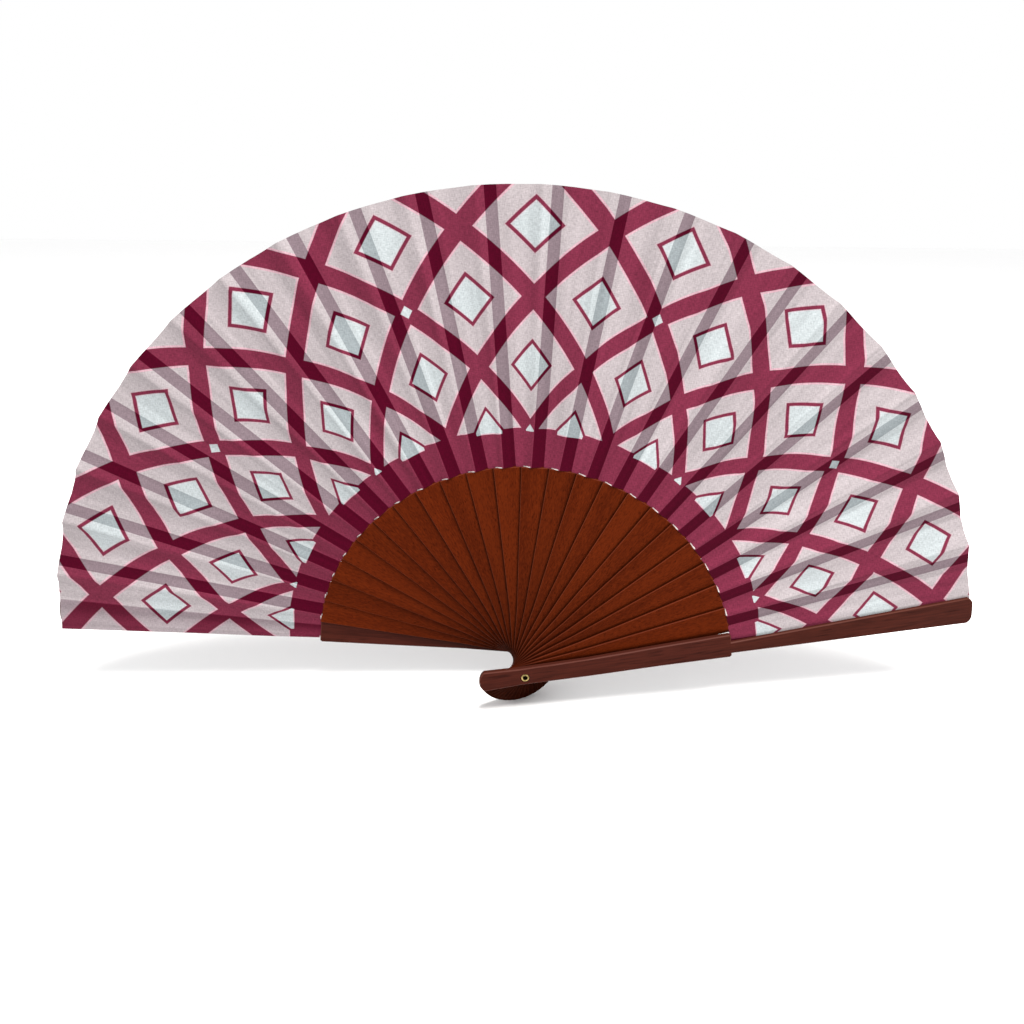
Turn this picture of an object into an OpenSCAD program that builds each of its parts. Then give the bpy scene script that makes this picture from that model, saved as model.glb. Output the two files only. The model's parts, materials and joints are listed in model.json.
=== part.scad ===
// Folding hand fan: wooden sticks on one hollow rivet, with a pleated cotton leaf.
// The fan stands open in the XZ plane and the rivet lies on the Y axis.
// The origin is the middle of the rivet; the front guard is the nearest to -Y.
// Every stick is drawn along +X from the pivot, then turned up to its own angle.

/* [Sticks] */
// Number of inner ribs between the two guards
rib_count = 22; // [10:1:26]
// Angle between neighbouring sticks when the fan is open
step_angle = 7.2; // [6:0.1:7.5]
// Distance from one rib to the next through the stack
layer = 1.15; // [1.1:0.05:1.5]
// Thickness of a rib between its head and its shoulder
rib_t = 1.0; // [0.8:0.05:1]
// Distance from the pivot to the shoulder, where the thin slip begins
shoulder = 95; // [80:0.1:95]
// Distance from the pivot to the end of the head
head_reach = 20.8; // [18:0.1:24]

/* [Slips] */
// Thickness of the slip that carries the leaf
slip_t = 0.55; // [0.4:0.05:0.6]
// Width of the slip at the shoulder
slip_w0 = 5.5; // [5:0.1:6]
// Width of the slip at its tip
slip_w1 = 4.9; // [4:0.1:6]
// Distance from the pivot to the tip of the slip
slip_reach = 208.5; // [190:0.5:208.5]
// Lean of each slip and its glued panel about its own length
lean = 11; // [8:0.5:12]

/* [Guards] */
// Thickness of a guard between its head and its shoulder
guard_t = 2.7; // [2.5:0.1:3.5]
// Thickness of a guard's outer blade
blade_t = 2.0; // [1.5:0.1:2]
// Distance from the pivot to the tip of a guard
guard_reach = 209.6; // [209:0.1:215]
// Width of the blade at its tip
blade_w = 13.2; // [12:0.1:14]

/* [Leaf] */
// Inner radius of the cotton leaf
leaf_r0 = 95.5; // [95.5:0.1:100]
// Outer radius of the cotton leaf
leaf_r1 = 209; // [207:0.1:209]
// Thickness of the cotton with its glue
cloth_t = 0.22; // [0.15:0.01:0.25]
// Angle from a rib's middle to the fold on its left
fold_left = 1.95; // [1.8:0.05:2]
// Angle from a rib's middle to the fold on its right
fold_right = 1.75; // [1.7:0.05:1.8]

/* [Rivet] */
// Outer radius of the rivet's tube
tube_r = 1.5; // [1.4:0.05:1.6]
// Radius of the hole through the rivet
rivet_bore_r = 1.15; // [1:0.05:1.2]
// Radius of the rivet's flange and of its washer
flange_r = 1.95; // [1.9:0.05:2.5]
// Thickness of the flange and of the washer
flange_t = 0.45; // [0.3:0.05:0.6]

/* [Hidden] */
run_gap = 0.05;                   // clearance round and beside the rivet
bevel = 0.22;                     // broken edge of a rib
guard_bevel = 0.45;               // broken edge of a guard
cloth_gap = 0.04;                 // glue line between a slip and the cotton
seam_gap = 0.05;                  // half of the space left between two leaf sections, in degrees
overhang = 2.5;                   // the leaf's end past the middle of the rear guard, in degrees
tuck = 1.2;                       // the leaf's end past the middle of the front guard, in degrees
slip_start = 0.3;                 // where the lean begins, clear of the neighbours' shoulders
slip_root = 3;                    // how far the flat root of a slip runs back inside its rib
seat_r = flange_r + 0.15;         // the seats that let the rivet's ends down flush with the guards
seat_t = flange_t + 2 * run_gap;
sides = 64;

stack = rib_count * layer + 2 * guard_t;
last = rib_count + 1;             // the front guard's place; the rear guard's is 0
first_angle = 90 + last * step_angle / 2;

// Half widths [left, right] of a stick at a distance from the pivot
head_x = -14.6;
head_r = head_reach + head_x;
head_mid = 0.4;
rib_edges = [[head_x, 5.6, 3.9], [-2, 4.8, 3.4], [28, 4.7, 4.3], [62, 5.9, 4.9], [shoulder, 7.0, 5.8]];
guard_edges = [[head_x, 5.6, 3.9], [-2, 4.8, 3.4], [28, 4.6, 4.2], [62, 5.5, 4.6],
    [shoulder - 0.8, 6.2, 5.4], [shoulder, 5.5, 4.7]];
slip_bow = 0.7;                   // how far the slip's tip is rounded
blade_root = [2.2, 3.5];          // half widths of the blade beside the shoulder
tip_bow = 2.4;                    // how far the blade's tip is rounded

function two(i) = str(i < 10 ? "0" : "", i);
function rib_name(i) = str("rib_", two(i));
function fold_name(i) = str("leaf_fold_", two(i));

rib_wood = [0.43, 0.17, 0.07];
guard_wood = [0.35, 0.16, 0.13];
cotton = [0.66, 0.33, 0.42];
brass = [0.72, 0.60, 0.36];

// Angle of a stick above +X, and the place of a stick's middle towards the viewer
function angle(i) = first_angle - i * step_angle;
function depth(i) = -stack / 2 + guard_t + (i - 0.5) * layer;

// The rounded end of the head, from its left edge round to its right one
function head_arc(left, right) =
    let (a0 = 180 - asin((left - head_mid) / head_r), a1 = 180 + asin((right + head_mid) / head_r))
    [for (k = [0:14]) let (a = a0 + (a1 - a0) * k / 14)
        [head_x + head_r * cos(a), head_mid + head_r * sin(a)]];
function left_edge(edges) = [for (k = [len(edges) - 1:-1:1]) [edges[k][0], edges[k][1]]];
function right_edge(edges) = [for (k = [1:len(edges) - 1]) [edges[k][0], -edges[k][2]]];
function body_outline(edges) =
    concat(left_edge(edges), head_arc(edges[0][1], edges[0][2]), right_edge(edges));
function blade_outline() = concat(
    [[shoulder - 1, blade_root[0]], [shoulder - 1, -blade_root[1]]],
    [for (k = [0:16]) let (s = k / 8 - 1) [guard_reach - tip_bow * pow(abs(s), 5), s * blade_w / 2]]);
function slip_outline() = concat(
    [[shoulder + slip_start, slip_w0 / 2], [shoulder + slip_start, -slip_w0 / 2]],
    [for (k = [0:8]) let (s = k / 4 - 1) [slip_reach - slip_bow * pow(abs(s), 4), s * slip_w1 / 2]]);

// A corner of an anticlockwise outline, moved inwards by d from both of its sides
function unit(v) = v / norm(v);
function inset(p, k, d) =
    let (n = len(p), a = unit(p[k] - p[(k + n - 1) % n]), b = unit(p[(k + 1) % n] - p[k]),
        m = [-a[1] - b[1], a[0] + b[0]])
    p[k] + m * (2 * d / (m * m));

// The strips that fill a face of n corners, each between the same corners of its two long sides
function strips(n) = [for (k = [0:ceil(n / 2) - 2])
    k + 1 == n - 2 - k ? [k, k + 1, n - 1 - k] : [k, k + 1, n - 2 - k, n - 1 - k]];

// A plate with broken edges on both faces, its front face towards +Z
module plate(outline, t, edge) {
    n = len(outline);
    ring = [[edge, 0], [0, edge], [0, t - edge], [edge, t]];
    points = [for (r = ring, k = [0:n - 1]) let (q = inset(outline, k, r[0])) [q[0], q[1], r[1]]];
    walls = [for (r = [0:2], k = [0:n - 1])
        let (a = r * n + k, b = r * n + (k + 1) % n) [a, a + n, b + n, b]];
    front = [for (s = strips(n)) [for (k = [len(s) - 1:-1:0]) 3 * n + s[k]]];
    polyhedron(points, concat(strips(n), walls, front));
}

// Turns a stick drawn in XY, front towards +Z, to its place in the open fan
module at_stick(i) {
    rotate([0, -angle(i), 0]) rotate([90, 0, 0]) children();
}

module pivot_hole(d0, t) {
    translate([0, 0, d0 - 1]) cylinder(h = t + 2, r = tube_r + run_gap, $fn = sides);
}

module rib(i) {
    color(rib_wood)
    at_stick(i)
    difference() {
        union() {
            translate([0, 0, depth(i) - rib_t / 2]) plate(body_outline(rib_edges), rib_t, bevel);
            translate([0, 0, depth(i)]) rotate([lean, 0, 0])
                translate([0, 0, -slip_t / 2]) plate(slip_outline(), slip_t, 0.12);
            translate([shoulder - slip_root, -slip_w0 / 2, depth(i) - slip_t / 2])
                cube([slip_root + slip_start + 0.1, slip_w0, slip_t]);
        }
        pivot_hole(depth(i) - rib_t / 2, rib_t);
    }
}

// A guard with its body and its blade starting at these depths, and a seat for the rivet's end
module guard(i, body_d, blade_d, seat_d) {
    color(guard_wood)
    at_stick(i)
    difference() {
        union() {
            translate([0, 0, body_d]) plate(body_outline(guard_edges), guard_t, guard_bevel);
            translate([0, 0, blade_d]) plate(blade_outline(), blade_t, guard_bevel);
        }
        pivot_hole(body_d, guard_t);
        translate([0, 0, seat_d]) cylinder(h = 2 * seat_t, r = seat_r, center = true, $fn = sides);
    }
}

module rear_guard() { guard(0, -stack / 2, -stack / 2, -stack / 2); }
module front_guard() { guard(last, stack / 2 - guard_t, stack / 2 - blade_t, stack / 2); }

// How far the cotton stands towards the viewer at a stick's middle, and how it leans there
function cloth_mid(i) =
    i == 0 ? -stack / 2 + blade_t + cloth_gap + cloth_t / 2 :
    i == last ? stack / 2 - blade_t - cloth_gap - cloth_t / 2 :
    depth(i) + (slip_t / 2 + cloth_gap + cloth_t / 2) / cos(lean);
function cloth_lean(i) = i == 0 || i == last ? 0 : lean;

// A point of the leaf beside stick i, a degrees to its left, at radius r and f through the cotton
function leaf_point(i, a, r, f) =
    let (d = cloth_mid(i) + r * sin(a) * tan(cloth_lean(i)) + f)
    [r * cos(angle(i) + a), -d, r * sin(angle(i) + a)];

// One section of the leaf: from the middle of stick i - 1, over both folds, to the middle of stick i
module leaf_fold(i) {
    a0 = i == 1 ? overhang : -seam_gap;
    a1 = i == last ? -tuck : seam_gap;
    stations = [[i - 1, a0], [i - 1, -fold_right], [i, fold_left], [i, a1]];
    corners = [[leaf_r0, -1], [leaf_r1, -1], [leaf_r1, 1], [leaf_r0, 1]];
    points = [for (s = stations, c = corners) leaf_point(s[0], s[1], c[0], c[1] * cloth_t / 2)];
    walls = [for (s = [0:2], k = [0:3])
        let (a = 4 * s + k, b = 4 * s + (k + 1) % 4) each [[a, b, b + 4], [a, b + 4, a + 4]]];
    color(cotton)
    polyhedron(points, concat([[3, 2, 1, 0]], walls, [[12, 13, 14, 15]]));
}

// The rivet's tube with the flange that shows in front
module rivet() {
    front = stack / 2 - run_gap;
    color(brass)
    rotate([90, 0, 0])
    difference() {
        union() {
            translate([0, 0, -front]) cylinder(h = 2 * front - flange_t, r = tube_r, $fn = sides);
            translate([0, 0, front - flange_t]) rim();
        }
        translate([0, 0, -stack]) cylinder(h = 2 * stack, r = rivet_bore_r, $fn = sides);
    }
}

// The flange's section: flat underneath and rolled over at its edge
module rim() {
    rotate_extrude($fn = sides)
    polygon(concat([[0, 0]],
        [for (k = [0:6]) let (a = 15 * k)
            [flange_r - flange_t * (1 - cos(a)), flange_t * sin(a)]],
        [[0, flange_t]]));
}

// The loose washer that the tube's rear end is spread over
module rivet_washer() {
    color(brass)
    rotate([-90, 0, 0])
    translate([0, 0, stack / 2 - run_gap - flange_t])
    difference() {
        rim();
        translate([0, 0, -1]) cylinder(h = flange_t + 2, r = tube_r, $fn = sides);
    }
}

rear_guard();
for (i = [1:rib_count]) rib(i);
front_guard();
for (i = [1:last]) leaf_fold(i);
rivet();
rivet_washer();
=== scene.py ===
import json
import math

import bmesh
import bpy
from mathutils import Euler, Matrix, Vector, noise

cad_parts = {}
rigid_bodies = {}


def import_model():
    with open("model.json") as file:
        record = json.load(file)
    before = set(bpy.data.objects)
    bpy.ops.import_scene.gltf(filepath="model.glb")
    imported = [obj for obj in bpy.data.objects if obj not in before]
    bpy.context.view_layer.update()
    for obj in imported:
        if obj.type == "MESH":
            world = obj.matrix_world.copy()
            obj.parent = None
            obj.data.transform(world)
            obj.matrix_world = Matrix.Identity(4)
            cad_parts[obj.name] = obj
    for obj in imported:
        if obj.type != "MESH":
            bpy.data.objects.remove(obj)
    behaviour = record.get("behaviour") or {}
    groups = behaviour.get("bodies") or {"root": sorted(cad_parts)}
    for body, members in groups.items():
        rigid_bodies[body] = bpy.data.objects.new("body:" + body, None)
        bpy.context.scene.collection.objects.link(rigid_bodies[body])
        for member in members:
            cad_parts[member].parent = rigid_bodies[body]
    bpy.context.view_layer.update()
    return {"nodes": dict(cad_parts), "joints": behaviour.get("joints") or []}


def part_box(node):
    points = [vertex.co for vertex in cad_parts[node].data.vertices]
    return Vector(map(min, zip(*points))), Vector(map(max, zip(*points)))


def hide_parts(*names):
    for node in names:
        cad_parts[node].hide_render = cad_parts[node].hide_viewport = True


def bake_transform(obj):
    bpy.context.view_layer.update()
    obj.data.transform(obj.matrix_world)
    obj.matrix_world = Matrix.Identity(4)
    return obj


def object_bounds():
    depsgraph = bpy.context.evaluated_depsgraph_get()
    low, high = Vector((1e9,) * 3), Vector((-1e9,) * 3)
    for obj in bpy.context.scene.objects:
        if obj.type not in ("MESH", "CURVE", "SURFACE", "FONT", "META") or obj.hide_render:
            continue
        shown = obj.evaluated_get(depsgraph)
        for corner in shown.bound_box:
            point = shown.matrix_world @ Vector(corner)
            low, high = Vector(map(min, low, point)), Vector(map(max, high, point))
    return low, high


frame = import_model()
print("frame loaded")

# the sticks' order and angles come from the joints
joints = frame["joints"]
sticks = [joints[0]["parent"]] + [joint["child"] for joint in joints]
lastStick = len(sticks) - 1
openStep = math.radians(joints[0]["range_deg"][1])
firstAngle = math.pi / 2 + lastStick * openStep / 2


def stickAngle(number):
    return firstAngle - number * openStep


def srgb(red, green, blue):
    # screen values from 0 to 255, as the linear colour that a shader takes
    linear = []
    for level in (red, green, blue):
        share = level / 255
        linear.append(share / 12.92 if share <= 0.04045 else ((share + 0.055) / 1.055) ** 2.4)
    return (*linear, 1)


def darker(colour, share):
    return (*(level * share for level in colour[:3]), 1)


class Wire:
    # one socket of a material; arithmetic on it adds Math nodes
    def __init__(self, nodeTree, socket=None):
        self.nodeTree = nodeTree
        self.socket = socket

    def node(self, kind, settings=None, sockets=None, out=0):
        made = self.nodeTree.nodes.new("ShaderNode" + kind)
        for name, value in (settings or {}).items():
            setattr(made, name, value)
        for name, value in (sockets or {}).items():
            if isinstance(value, Wire):
                self.nodeTree.links.new(value.socket, made.inputs[name])
            else:
                made.inputs[name].default_value = value
        return Wire(self.nodeTree, made.outputs[out])

    def output(self, name):
        return Wire(self.nodeTree, self.socket.node.outputs[name])

    def math(self, operation, *others):
        return self.node("Math", {"operation": operation}, dict(enumerate((self, *others))))

    def __add__(self, other):
        return self.math("ADD", other)

    def __sub__(self, other):
        return self.math("SUBTRACT", other)

    def __rsub__(self, other):
        return self.node("Math", {"operation": "SUBTRACT"}, {0: other, 1: self})

    def __mul__(self, other):
        return self.math("MULTIPLY", other)

    def __truediv__(self, other):
        return self.math("DIVIDE", other)

    __radd__ = __add__
    __rmul__ = __mul__

    def step(self, low, high):
        # 0 below low, 1 above high, smooth between them
        return self.node("MapRange", {"interpolation_type": "SMOOTHSTEP"},
                         {"Value": self, "From Min": low, "From Max": high})

    def ramp(self, reach, ends):
        # straight from one end to the other over the reach
        return self.node("MapRange", {}, {"Value": self, "From Min": reach[0], "From Max": reach[1],
                                          "To Min": ends[0], "To Max": ends[1]})

    def blend(self, first, second):
        # from the first colour at 0 to the second at 1
        return self.node("Mix", {"data_type": "RGBA"}, {0: self, 6: first, 7: second}, out=2)

    def towards(self, colour, share):
        # this colour, taken a fixed share of the way to another
        return self.node("Mix", {"data_type": "RGBA"}, {0: share, 6: self, 7: colour}, out=2)

    def scaled(self, share):
        # a colour or vector times a number
        return self.node("VectorMath", {"operation": "SCALE"}, {0: self, "Scale": share})

    def varied(self, pattern, amount):
        # a colour made lighter and darker by a pattern that lies around a half
        return self.scaled(pattern * amount + (1 - amount / 2))

    def times(self, stretch):
        return self.node("VectorMath", {"operation": "MULTIPLY"}, {0: self, 1: stretch})

    def noise(self, scale, detail=2, roughness=0.5):
        return self.node("TexNoise", {}, {"Vector": self, "Scale": scale, "Detail": detail,
                                          "Roughness": roughness})


def newMaterial(name, **fixed):
    # a Principled material, its shader and a start for its nodes; fixed values go on the shader
    material = bpy.data.materials.new(name)
    material.use_nodes = True
    shader = material.node_tree.nodes["Principled BSDF"]
    for socket, value in fixed.items():
        shader.inputs[socket.replace("_", " ")].default_value = value
    return material, shader, Wire(material.node_tree)


def plug(shader, socket, wire):
    wire.nodeTree.links.new(wire.socket, shader.inputs[socket])


def roughen(shader, height, strength, distance):
    plug(shader, "Normal", height.node("Bump", {}, {"Height": height, "Strength": strength,
                                                   "Distance": distance}))


# camera: close to the fan and a little above it
camera = {"place": (-0.01846, -0.3071, 0.1975), "aim": -5.57, "tilt": -18.34, "roll": 0.79,
          "lens": 26.54, "shift": (-0.0374, -0.0449)}


def makeCamera():
    data = bpy.data.cameras.new("camera")
    data.lens = camera["lens"]
    data.sensor_width = 36
    data.shift_x, data.shift_y = camera["shift"]
    data.clip_start = 0.01
    holder = bpy.data.objects.new("camera", data)
    bpy.context.scene.collection.objects.link(holder)
    turn = Euler((math.radians(90 + camera["tilt"]), 0, math.radians(camera["aim"]))).to_matrix()
    roll = Matrix.Rotation(math.radians(camera["roll"]), 3, "Z")
    holder.matrix_world = Matrix.Translation(camera["place"]) @ (turn @ roll).to_4x4()
    bpy.context.scene.camera = holder


makeCamera()
print("camera placed")


# wood: the grain runs along each stick, so each has its own turned material
ribWood = {"light": (106, 38, 9), "dark": (82, 26, 5), "pore": (56, 15, 3), "wornHighlight": (122, 58, 38),
           "paintedSide": (84, 28, 12), "exposure": 0.425, "roughness": 0.55, "gloss": 0.012,
           "grainScale": 2100, "drawn": 0.22}
guardWood = {"light": (80, 33, 23), "dark": (62, 23, 15), "pore": (42, 14, 9), "wornHighlight": (106, 58, 48),
             "paintedSide": (86, 42, 33), "exposure": 0.47, "roughness": 0.46, "gloss": 0.03,
             "grainScale": 1300, "drawn": 0.05}
woodGrain = {"shift": (0.31, 0.17, 0.23), "poreDrawn": 1.6, "poreScale": 0.8, "poreEdge": (0.6, 0.74),
             "poreShare": 0.55, "bandDrawn": 0.05, "bandScale": 160, "bandShare": 0.35,
             "contrast": (0.34, 0.66), "patchScale": 26, "patches": 0.24, "tints": 0.12,
             "tintStep": 0.618, "fibreRelief": 0.5, "relief": 0.25, "depth": 0.00008,
             "poreRough": 0.25, "grainSmooth": 0.08}
# bevelled edges are paler, partly wear and partly a painted highlight; the sides take a painted tone, darker
# on the ribs as shade between them and paler on the guards as light from above; both go by how far a face
# looks forward or back
woodEdges = {"wornHighlightFrom": (0.3, 0.5), "wornHighlightTo": (0.85, 0.96), "wornHighlight": 0.75, "paintedSideTo": (0.05, 0.35),
             "paintedSide": 0.8}
# painted shade: a line along the neighbour in front, whose left edge is given at two radii, and darker wood
# where the sticks crowd together
overlap = {"radii": (0.028, 0.095), "edge": (0.0047, 0.007), "wide": 0.0013, "soft": 0.0002,
           "ends": (0.095, 0.0955), "share": 0.62, "front": (-0.6, -0.3),
           "crowded": (0.01, 0.085), "crowdedShade": 0.2, "crowdedRise": 0.22}


def shadeBeside(colour, place, toBack, number):
    parts = place.node("SeparateXYZ", {}, {0: place})
    x, z = parts.output("X"), parts.output("Z")
    radius = (x * x + z * z).math("SQRT")
    turned = z.math("ARCTAN2", x) - stickAngle(number + 1)
    beside = radius * turned.math("SINE") - radius.ramp(overlap["radii"], overlap["edge"])
    # painted shade: a dark line beside the edge of the next stick, which overlaps this one
    shade = 1 - beside.step(-overlap["soft"], overlap["wide"])
    shade = shade * (1 - radius.step(*overlap["ends"])) * (1 - toBack.step(*overlap["front"]))
    colour = colour.scaled(1 - shade * overlap["share"])
    # painted shade towards the pivot, where the sticks crowd together
    crowded = radius.step(*overlap["crowded"]) * overlap["crowdedRise"]
    return colour.scaled(crowded + (1 - overlap["crowdedShade"]))


def woodMaterial(name, wood, number):
    material, shader, tree = newMaterial(name, Specular_IOR_Level=wood["gloss"])
    place = tree.node("TexCoord").output("Object")
    along = tree.node("Mapping", {}, {"Vector": place, "Rotation": (0, stickAngle(number), 0),
                                      "Location": [number * step for step in woodGrain["shift"]]})
    drawn, scale = wood["drawn"], wood["grainScale"]
    fibre = along.times((drawn, 1, 1)).noise(scale, 2, 0.6)
    pores = along.times((drawn * woodGrain["poreDrawn"], 1, 1)).noise(scale * woodGrain["poreScale"], 1, 0.4)
    bands = along.times((woodGrain["bandDrawn"], 1, 1)).noise(woodGrain["bandScale"])
    patches = along.noise(woodGrain["patchScale"])
    # each stick has a slightly different tint
    tint = 1 + woodGrain["tints"] * ((number * woodGrain["tintStep"]) % 1 - 0.5)
    exposure = wood["exposure"] * tint
    shades = {key: darker(srgb(*wood[key]), exposure) for key in ("light", "dark", "pore", "wornHighlight", "paintedSide")}
    bandShare = woodGrain["bandShare"]
    grain = (fibre * (1 - bandShare) + bands * bandShare).step(*woodGrain["contrast"])
    colour = grain.blend(shades["dark"], shades["light"])
    poreMask = pores.step(*woodGrain["poreEdge"])
    colour = (poreMask * woodGrain["poreShare"]).blend(colour, shades["pore"])
    facing = tree.node("NewGeometry").output("Normal")
    toBack = tree.node("SeparateXYZ", {}, {0: facing}).output("Y")
    front = toBack.math("ABSOLUTE")
    # painted highlight on the bevelled edges, partly also wear
    wornHighlight = front.step(*woodEdges["wornHighlightFrom"]) * (1 - front.step(*woodEdges["wornHighlightTo"]))
    colour = (wornHighlight * woodEdges["wornHighlight"]).blend(colour, shades["wornHighlight"])
    # painted tone on the sides: shade between the ribs, light from above on the guards
    paintedSideMask = 1 - front.step(*woodEdges["paintedSideTo"])
    colour = (paintedSideMask * woodEdges["paintedSide"]).blend(colour, shades["paintedSide"])
    colour = colour.varied(patches, woodGrain["patches"])
    if number < lastStick:
        colour = shadeBeside(colour, place, toBack, number)
    plug(shader, "Base Color", colour)
    rough = poreMask * woodGrain["poreRough"] - grain * woodGrain["grainSmooth"]
    plug(shader, "Roughness", rough + wood["roughness"])
    roughen(shader, fibre * woodGrain["fibreRelief"] - poreMask, woodGrain["relief"], woodGrain["depth"])
    return material


# brass: turned, with a dull film
brassLook = {"bright": (160, 142, 92), "dull": (84, 72, 42), "filmScale": 900, "filmEdge": (0.35, 0.68),
             "roughness": 0.22, "filmRoughness": 0.3, "turnedScale": 6000, "relief": 0.15,
             "depth": 0.00003}


def brassMaterial():
    material, shader, tree = newMaterial("brass", Metallic=1)
    place = tree.node("TexCoord").output("Object")
    film = place.noise(brassLook["filmScale"], 3, 0.6)
    turned = place.times((0.2, 1, 0.2)).noise(brassLook["turnedScale"], 1)
    bright, dull = srgb(*brassLook["bright"]), srgb(*brassLook["dull"])
    plug(shader, "Base Color", film.step(*brassLook["filmEdge"]).blend(bright, dull))
    plug(shader, "Roughness", film * brassLook["filmRoughness"] + brassLook["roughness"])
    roughen(shader, turned, brassLook["relief"], brassLook["depth"])
    return material


def dress(node, material):
    mesh = frame["nodes"][node].data
    mesh.materials.clear()
    mesh.materials.append(material)


def finishCadNodes():
    for number, stick in enumerate(sticks):
        wood = guardWood if number in (0, lastStick) else ribWood
        dress(stick, woodMaterial("wood_" + stick, wood, number))
    brass = brassMaterial()
    dress("rivet", brass)
    dress("rivet_washer", brass)


finishCadNodes()
print("wood and brass finished")


# leaf: one cotton sheet in sections, each from the middle of one stick to the middle of the next
leaf = {"inner": 0.0951, "outer": 0.209, "cloth": 0.00022, "glue": 0.00004, "slip": 0.00055,
        "blade": 0.002, "lean": math.radians(11), "foldLeft": math.radians(1.95),
        "foldRight": math.radians(1.75), "overhang": math.radians(2.5), "tuck": math.radians(1.2),
        "foldRound": 0.0006, "foldSteps": 3, "panelFrom": 1.6, "rows": 27, "columns": 5,
        "sharp": math.radians(50), "touching": 1e-6,
        "sag": 0.6, "foldReach": 0.0043, "pleatSpare": 1.034,
        "slipHalf": (0.0027, 0.0024), "bladeHalf": (0.0026, 0.006)}
# ripples: how far they lift the cloth, where it is free of its stick, and how long and close they are
ripple = {"height": 0.00032, "free": (0.0029, 0.0052), "streakAlong": 17, "streakAcross": 330,
          "streakShift": 3.7, "swellAlong": 30, "swellShift": 1.9, "swellPlane": 5.1, "swell": 0.8}
guardDepth = {0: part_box(sticks[0])[1].y, lastStick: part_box(sticks[lastStick])[0].y}


def clothPlace(number):
    # the cloth's middle line at a stick: its y and its lean
    half = leaf["glue"] + leaf["cloth"] / 2
    if number == 0:
        return guardDepth[0] - leaf["blade"] - half, 0
    if number == lastStick:
        return guardDepth[lastStick] + leaf["blade"] + half, 0
    low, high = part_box(sticks[number])
    return (low.y + high.y) / 2 - (leaf["slip"] / 2 + half) / math.cos(leaf["lean"]), leaf["lean"]


def clothPoint(number, turn, radius):
    # a point of the cloth, turned anticlockwise from the stick's middle
    middle, lean = clothPlace(number)
    angle = stickAngle(number) + turn
    return Vector((radius * math.cos(angle), middle - radius * math.sin(turn) * math.tan(lean),
                   radius * math.sin(angle)))


def smooth(value, low, high):
    share = min(1, max(0, (value - low) / (high - low)))
    return share * share * (3 - 2 * share)


def offStick(place):
    # how far a point lies from the middle of the nearest stick, along its arc
    radius = math.hypot(place.x, place.z)
    position = (firstAngle - math.atan2(place.z, place.x)) / openStep
    nearest = min(lastStick, max(0, round(position)))
    return (position - nearest) * openStep * radius


def sagCloth(bm, section):
    # the free panel lies low beside the stick behind it and rises steeply to the fold in front
    span = openStep - leaf["foldRight"] - leaf["foldLeft"]
    sag = leaf["sag"]
    for vert in bm.verts:
        radius = math.hypot(vert.co.x, vert.co.z)
        turn = stickAngle(section - 1) - leaf["foldRight"] - math.atan2(vert.co.z, vert.co.x)
        share = turn / span
        if 0 < share < 1 and section < lastStick:
            low = clothPoint(section - 1, -leaf["foldRight"], radius).y
            high = clothPoint(section, leaf["foldLeft"], radius).y
            vert.co.y += (low - high) * sag * (share - share ** 3)


def rippleCloth(bm, section):
    # the free cloth isn't quite flat: soft streaks that run along the folds
    for vert in bm.verts:
        radius = math.hypot(vert.co.x, vert.co.z)
        aside = offStick(vert.co)
        free = smooth(abs(aside), *ripple["free"])
        streak = noise.noise(Vector((radius * ripple["streakAlong"], aside * ripple["streakAcross"],
                                     section * ripple["streakShift"])))
        swell = noise.noise(Vector((radius * ripple["swellAlong"], section * ripple["swellShift"],
                                    ripple["swellPlane"])))
        vert.co.y += ripple["height"] * free * (streak + swell * ripple["swell"])


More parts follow.
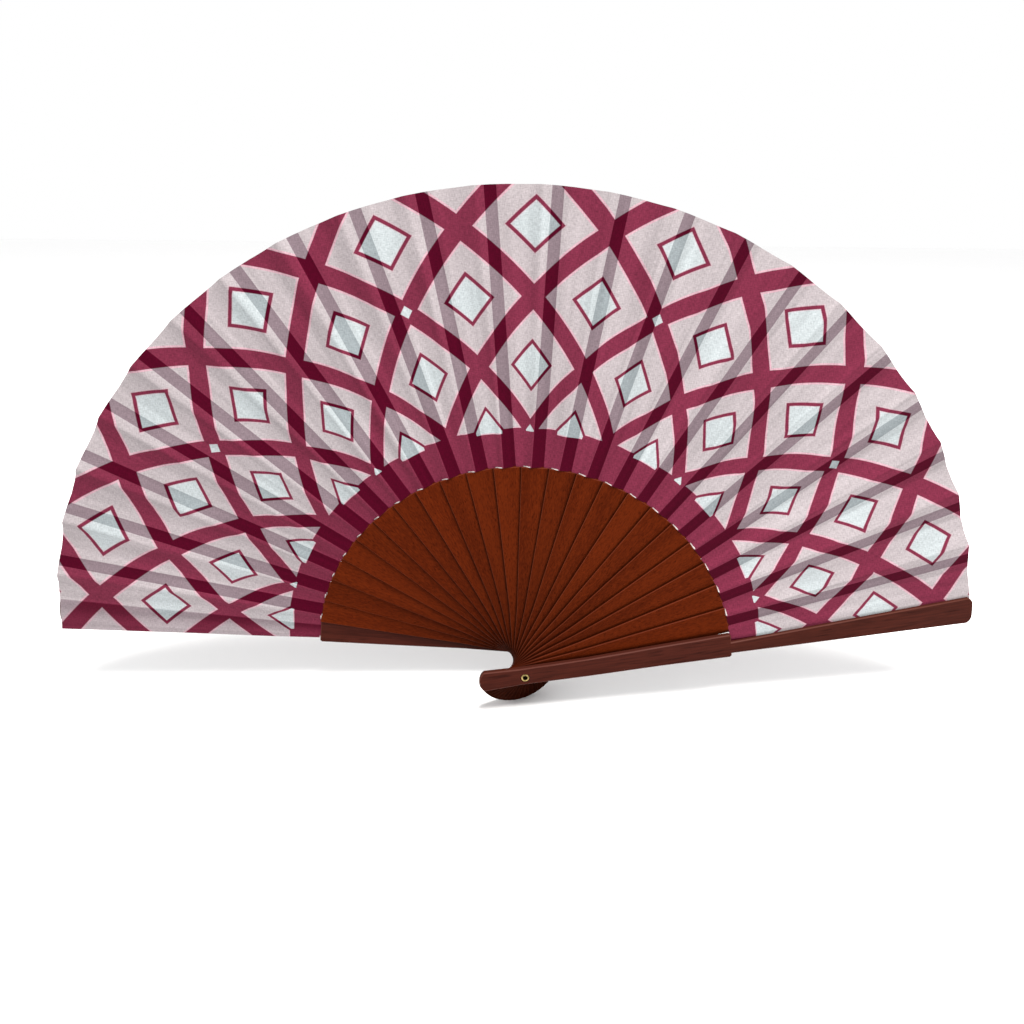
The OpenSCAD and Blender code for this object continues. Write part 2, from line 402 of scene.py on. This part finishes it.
def makeSection(section):
    left, right = section - 1, section
    stations = [(left, leaf["overhang"] if left == 0 else 0), (left, -leaf["foldRight"]),
                (right, leaf["foldLeft"]), (right, -leaf["tuck"] if right == lastStick else 0)]
    bm = bmesh.new()
    row = [bm.verts.new(clothPoint(number, turn, leaf["inner"])) for number, turn in stations]
    lines = [bm.edges.new(pair) for pair in zip(row, row[1:])]
    # the inner edge is drawn out to the outer one, each half away from its own stick's pivot
    grown = bmesh.ops.extrude_edge_only(bm, edges=lines)["geom"]
    tips = [item for item in grown if isinstance(item, bmesh.types.BMVert)]
    growth = leaf["outer"] / leaf["inner"]
    for half, number in ((row[:2], left), (row[2:], right)):
        own = [tip for tip in tips if any((tip.co - vert.co).length < leaf["touching"] for vert in half)]
        pivot = Matrix.Translation((0, -clothPlace(number)[0], 0))
        bmesh.ops.scale(bm, vec=(growth, growth, growth), space=pivot, verts=own)
    bmesh.ops.recalc_face_normals(bm, faces=bm.faces)
    if sum(face.normal.y for face in bm.faces) > 0:
        bmesh.ops.reverse_faces(bm, faces=bm.faces)
    folds = [edge for edge in bm.edges if len(edge.link_faces) == 2]
    bmesh.ops.bevel(bm, geom=folds, offset=leaf["foldRound"], offset_type="OFFSET",
                    segments=leaf["foldSteps"], profile=0.5, affect="EDGES", material=-1)
    along = [edge for edge in bm.edges if edge.calc_length() > (leaf["outer"] - leaf["inner"]) / 2]
    bmesh.ops.subdivide_edges(bm, edges=along, cuts=leaf["rows"], use_grid_fill=True)
    # only the panels are divided across, as the rounded folds have their own steps
    reach = leaf["foldRound"] * leaf["panelFrom"]
    across = [edge for edge in bm.edges if edgeAcross(edge) > reach]
    bmesh.ops.subdivide_edges(bm, edges=across, cuts=leaf["columns"], use_grid_fill=True)
    sagCloth(bm, section)
    rippleCloth(bm, section)
    bm.normal_update()
    for vert in bm.verts:
        vert.co += vert.normal * leaf["cloth"] / 2
    bmesh.ops.solidify(bm, geom=bm.faces[:], thickness=leaf["cloth"])
    bm.normal_update()
    layer = bm.loops.layers.uv.new("cloth")
    for face in bm.faces:
        face.smooth = True
        face.material_index = leafSlot(face.normal.y)
        for loop in face.loops:
            place = loop.vert.co
            loop[layer].uv = (math.atan2(place.z, place.x), math.hypot(place.x, place.z))
    for edge in bm.edges:
        edge.smooth = edge.calc_face_angle(math.pi) < leaf["sharp"]
    mesh = bpy.data.meshes.new("leaf_pleat_%02d" % section)
    bm.to_mesh(mesh)
    bm.free()
    piece = bpy.data.objects.new(mesh.name, mesh)
    bpy.context.scene.collection.objects.link(piece)
    return piece


def leafSlot(toBack):
    # the printed front, the back and the cut edge, in the order that makeLeaf gives them
    if abs(toBack) < 0.5:
        return 2
    return 1 if toBack > 0 else 0


def edgeAcross(edge):
    # an edge's length across the sticks, or 0 for one that runs along them
    a, b = (vert.co for vert in edge.verts)
    rise = abs(math.hypot(a.x, a.z) - math.hypot(b.x, b.z))
    return 0 if rise > edge.calc_length() / 2 else edge.calc_length()


# the Over colours are the cloth over the sticks, darkened partly by the wood behind and partly as painted
# shade
cottonColours = {"ground": (200, 190, 193), "crimson": (132, 50, 74), "pale": (208, 216, 219),
                 "groundOver": (146, 128, 136), "crimsonOver": (82, 4, 32), "paleOver": (164, 173, 177),
                 "halo": (236, 180, 196), "raw": (238, 226, 224)}
cottonExposure = 0.42
# the print: a lattice of diamonds about its own middle line, counted down from its top row
printed = {"middle": math.radians(88.7), "columnStep": math.radians(17.65), "topRow": 0.1945,
           "rowStep": 0.0276, "lastRow": -3, "bow": 0.0032, "bandFrom": 0.815,
           "pulledFrom": math.radians(61.8), "pulled": 0.095, "ringFrom": 0.322, "ringTo": 0.396,
           "squareTo": 0.095, "soft": 0.01, "border": 0.1124, "borderSoft": 0.00015,
           "centreDrop": 0.002, "squareDrop": 0.0012}
# the pale line just outside each crimson edge
haloLine = {"wide": 0.034, "byRing": 0.4, "byBorder": 0.0004, "share": 0.75}
# the sticks seen through the cloth, darker partly from the wood behind and partly as painted shade where
# they block the light from behind; the rear guard's blade is wider and fainter, its painted shade growing
# towards the next stick
showing = {"slipsFrom": (0.49, 0.51), "slipSoft": 0.0001, "bladeSoft": 0.0004, "bladeLeast": 0.4,
           "bladeRise": 0.45, "backPaler": 0.3}
threads = {"scale": 3300, "drawn": 0.18, "contrast": 0.6, "crimsonExtra": 0.2, "relief": 0.3,
           "depth": 0.0001, "mottleScale": 60, "mottle": 0.16}
# soft streaks, a painted shadow line at the crease and a painted shade that run along the folds, placed from
# stick (0) to stick (1)
streaked = {"stretch": (0.15, 0.07), "fineScale": 420, "fine": 0.32, "longScale": 150, "long": 0.4,
            "creaseShadowAt": 0.745, "creaseShadowEdge": (0.008, 0.045), "creaseShadow": 0.1,
            "shadeAt": 0.14, "shadeEdge": (0.02, 0.12), "shade": 0.07}
# the cut inner edge frays white beside each fold, except next to the front guard
fray = {"from": (0.47, 0.52), "to": (0.7, 0.75), "stop": (0.54, 0.5), "scale": 900, "reach": 0.0007,
        "past": 0.0001, "edgeScale": 700, "edgeAway": (0.12, 0.13), "speckleEdge": (0.3, 0.7),
        "darkest": 0.75, "edgeRough": 0.88, "edgeRoughSpread": 0.1}


def cottonShades():
    return {key: darker(srgb(*colour), cottonExposure) for key, colour in cottonColours.items()}


def clothSheet(tree):
    # the angle and radius of a point of the leaf
    parts = tree.node("SeparateXYZ", {}, {0: tree.node("UVMap", {"uv_map": "cloth"})})
    return parts.output("X"), parts.output("Y")


def stickPosition(angle):
    # which stick a point lies at, and the share of the way to the next
    return (firstAngle - angle) * (1 / openStep)


def whiteDash(position):
    fold = position.math("FRACT")
    dash = fold.step(*fray["from"]) * (1 - fold.step(*fray["to"]))
    stop, end = fray["stop"]
    return dash * (1 - position.step(lastStick - stop, lastStick - end))


def beyond(wire, limit, blur):
    return wire.step(limit - blur, limit + blur)


def printPattern(angle, radius):
    # masks of the crimson, the pale diamonds and the pale line beside the crimson
    soft, borderSoft = printed["soft"], printed["borderSoft"]
    aside = angle - printed["middle"]
    # the cloth is pulled a little wider towards the rear guard
    aside = aside - (aside - printed["pulledFrom"]).math("MAXIMUM", 0) * printed["pulled"]
    bowed = radius + aside * aside * (printed["bow"] / 2)
    column = aside * (2 / printed["columnStep"])
    row = ((bowed - printed["topRow"]) * (1 / printed["rowStep"])).math("MAXIMUM", printed["lastRow"])
    # whole numbers of slope and counter are diamond centres
    slope, counter = (column + row) * 0.5, (column - row) * 0.5
    diamond = slope.math("PINGPONG", 0.5).math("MAXIMUM", counter.math("PINGPONG", 0.5)) * 2
    square = (slope - 0.5).math("PINGPONG", 1).math("MAXIMUM", (counter + 0.5).math("PINGPONG", 1)) * 2
    inSquare = 1 - beyond(square, printed["squareTo"], soft)
    inCentre = 1 - beyond(diamond, printed["ringFrom"], soft)
    ring = beyond(diamond, printed["ringFrom"], soft) - beyond(diamond, printed["ringTo"], soft)
    band = beyond(diamond, printed["bandFrom"], soft)
    # the border stops a little lower behind the pale centres than behind the ground
    dropped = bowed + inCentre * printed["centreDrop"] + inSquare * printed["squareDrop"]
    border = 1 - beyond(dropped, printed["border"], borderSoft)
    inCrimson = (ring.math("MAXIMUM", band) * (1 - inSquare)).math("MAXIMUM", border)
    inPale = inCentre.math("MAXIMUM", inSquare) * (1 - border)
    half = haloLine["wide"] / 2
    byRing = beyond(diamond, printed["ringFrom"] - half, soft)
    byRing = byRing - beyond(diamond, printed["ringTo"] + half, soft)
    byBand = beyond(diamond, printed["bandFrom"] - haloLine["wide"], soft)
    byBorder = 1 - beyond(dropped, printed["border"] + haloLine["byBorder"], borderSoft)
    halo = (byRing * haloLine["byRing"]).math("MAXIMUM", byBand).math("MAXIMUM", byBorder)
    return inCrimson, inPale, halo * (1 - inCrimson) * (1 - inSquare)


def stickStripe(position, radius):
    # the slips of wood behind the cloth, which show through it as dark stripes, partly painted shade where
    # they block the light from behind
    ends = (leaf["inner"], leaf["outer"])
    off = position.math("PINGPONG", 0.5) * openStep * radius
    slip = 1 - beyond(off - radius.ramp(ends, leaf["slipHalf"]), 0, showing["slipSoft"])
    slip = slip * position.step(*showing["slipsFrom"])
    reach = radius.ramp(ends, leaf["bladeHalf"])
    across = position * openStep * radius
    depth = (across / reach).step(-1, 1) * showing["bladeRise"] + showing["bladeLeast"]
    blade = (1 - beyond(across - reach, 0, showing["bladeSoft"])) * depth
    return slip + blade * (1 - slip)


def cottonMaterial(name, seenFromBack):
    material, shader, tree = newMaterial(name, Specular_IOR_Level=0.015, Roughness=0.95,
                                         Sheen_Weight=0.02)
    angle, radius = clothSheet(tree)
    position = stickPosition(angle)
    inCrimson, inPale, halo = printPattern(angle, radius)
    stripe = stickStripe(position, radius)
    shades = cottonShades()
    lit = inCrimson.blend(inPale.blend(shades["ground"], shades["pale"]), shades["crimson"])
    lit = (halo * haloLine["share"]).blend(lit, shades["halo"])
    if seenFromBack:
        colour = lit.towards(shades["ground"], showing["backPaler"])
    else:
        # over the sticks: the wood showing through, with painted shade for the light from behind that they
        # block
        over = inPale.blend(shades["groundOver"], shades["paleOver"])
        colour = stripe.blend(lit, inCrimson.blend(over, shades["crimsonOver"]))
    # threads: two sets of thin slubs, straight across the whole sheet
    flat = tree.node("CombineXYZ", {}, {0: radius * angle.math("COSINE"), 1: radius * angle.math("SINE")})
    warp = flat.times((1, threads["drawn"], 1)).noise(threads["scale"], 1)
    weft = flat.times((threads["drawn"], 1, 1)).noise(threads["scale"], 1)
    weave = warp + weft
    contrast = inCrimson * threads["crimsonExtra"] * (1 - stripe) + threads["contrast"]
    colour = colour.scaled((weave - 1) * contrast + 1)
    colour = colour.varied(flat.noise(threads["mottleScale"], 3, 0.6), threads["mottle"])
    wide, long = streaked["stretch"]
    polar = tree.node("CombineXYZ", {}, {0: angle * wide, 1: radius * long})
    streaks = polar.noise(streaked["fineScale"], 2, 0.55) * streaked["fine"]
    streaks = streaks + polar.noise(streaked["longScale"], 1) * streaked["long"]
    colour = colour.scaled(streaks + (1 - (streaked["fine"] + streaked["long"]) / 2))
    fold = position.math("FRACT")
    # painted shadow under each mountain fold and painted shade just past each stick
    creaseShadow = 1 - (fold - streaked["creaseShadowAt"]).math("ABSOLUTE").step(*streaked["creaseShadowEdge"])
    shade = 1 - (fold - streaked["shadeAt"]).math("ABSOLUTE").step(*streaked["shadeEdge"])
    colour = colour.scaled(1 - creaseShadow * streaked["creaseShadow"] - shade * streaked["shade"])
    fringe = radius - flat.noise(fray["scale"]) * fray["reach"]
    fringe = 1 - beyond(fringe, leaf["inner"] + fray["past"], fray["past"])
    colour = (fringe * whiteDash(position)).blend(colour, shades["raw"])
    plug(shader, "Base Color", colour)
    roughen(shader, weave, threads["relief"], threads["depth"])
    return material


def rawEdgeMaterial():
    # the cut edge of the cotton: stained crimson along the inner edge, bare in the dashes and elsewhere
    material, shader, tree = newMaterial("cotton_cut_edge", Specular_IOR_Level=0.04)
    angle, radius = clothSheet(tree)
    shades = cottonShades()
    speckle = tree.node("UVMap", {"uv_map": "cloth"}).noise(fray["edgeScale"], 2, 0.6)
    bare = whiteDash(stickPosition(angle)).math("MAXIMUM", radius.step(*fray["edgeAway"]))
    raw = speckle.step(*fray["speckleEdge"]).blend(darker(shades["raw"], fray["darkest"]), shades["raw"])
    plug(shader, "Base Color", bare.blend(shades["crimsonOver"], raw))
    plug(shader, "Roughness", speckle * fray["edgeRoughSpread"] + fray["edgeRough"])
    return material


def makeLeaf():
    looks = [cottonMaterial("cotton_print", False), cottonMaterial("cotton_back", True),
             rawEdgeMaterial()]
    for section in range(1, lastStick + 1):
        piece = makeSection(section)
        for look in looks:
            piece.data.materials.append(look)
        joinSection(piece, section)


def joinSection(piece, section):
    # the section is baked in place and the fold piece of the model that it replaces is hidden; the middle of
    # the free panel and the span of turning are worked out but not used
    middle = stickAngle(section - 1) - (openStep + leaf["foldRight"] - leaf["foldLeft"]) / 2
    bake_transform(piece)
    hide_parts("leaf_fold_%02d" % section)
    span = openStep * leaf["pleatSpare"]
    if section == 1:
        span += leaf["overhang"]
    if section == lastStick:
        span += leaf["tuck"]


makeLeaf()
print("leaf made")


# studio: a pale floor under the heads, a white room and a soft key from above
studio = {"floor": (253, 253, 253), "floorSize": 6, "floorGap": 0.0002, "speckle": 9,
          "speckleDark": 0.98, "room": 1.0, "keyPlace": (0.2, -0.55, 1.3), "keyAim": (0, 0, 0.08),
          "keySize": 0.5, "keyPower": 42, "keyColour": (1, 0.98, 0.95)}


def makeFloor():
    bm = bmesh.new()
    bmesh.ops.create_grid(bm, x_segments=2, y_segments=2, size=studio["floorSize"])
    bmesh.ops.translate(bm, vec=(0, 0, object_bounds()[0].z - studio["floorGap"]), verts=bm.verts)
    mesh = bpy.data.meshes.new("floor")
    bm.to_mesh(mesh)
    bm.free()
    floor = bpy.data.objects.new("floor", mesh)
    bpy.context.scene.collection.objects.link(floor)
    material, shader, tree = newMaterial("pale_floor", Roughness=0.8, Specular_IOR_Level=0.1)
    place = tree.node("TexCoord").output("Object")
    tone = srgb(*studio["floor"])
    speckle = place.noise(studio["speckle"])
    plug(shader, "Base Color", speckle.blend(darker(tone, studio["speckleDark"]), tone))
    mesh.materials.append(material)


def makeKey():
    light = bpy.data.lights.new("key", "AREA")
    light.energy = studio["keyPower"]
    light.size = studio["keySize"]
    light.color = studio["keyColour"]
    holder = bpy.data.objects.new("key", light)
    place = Vector(studio["keyPlace"])
    aim = (Vector(studio["keyAim"]) - place).to_track_quat("-Z", "Y")
    holder.matrix_world = Matrix.Translation(place) @ aim.to_matrix().to_4x4()
    bpy.context.scene.collection.objects.link(holder)


def makeRoom():
    world = bpy.data.worlds.new("room")
    bpy.context.scene.world = world
    world.use_nodes = True
    background = world.node_tree.nodes["Background"]
    background.inputs["Color"].default_value = (1, 1, 1, 1)
    background.inputs["Strength"].default_value = studio["room"]
    bpy.context.scene.view_settings.view_transform = "Standard"


makeFloor()
makeKey()
makeRoom()
print("studio lit")
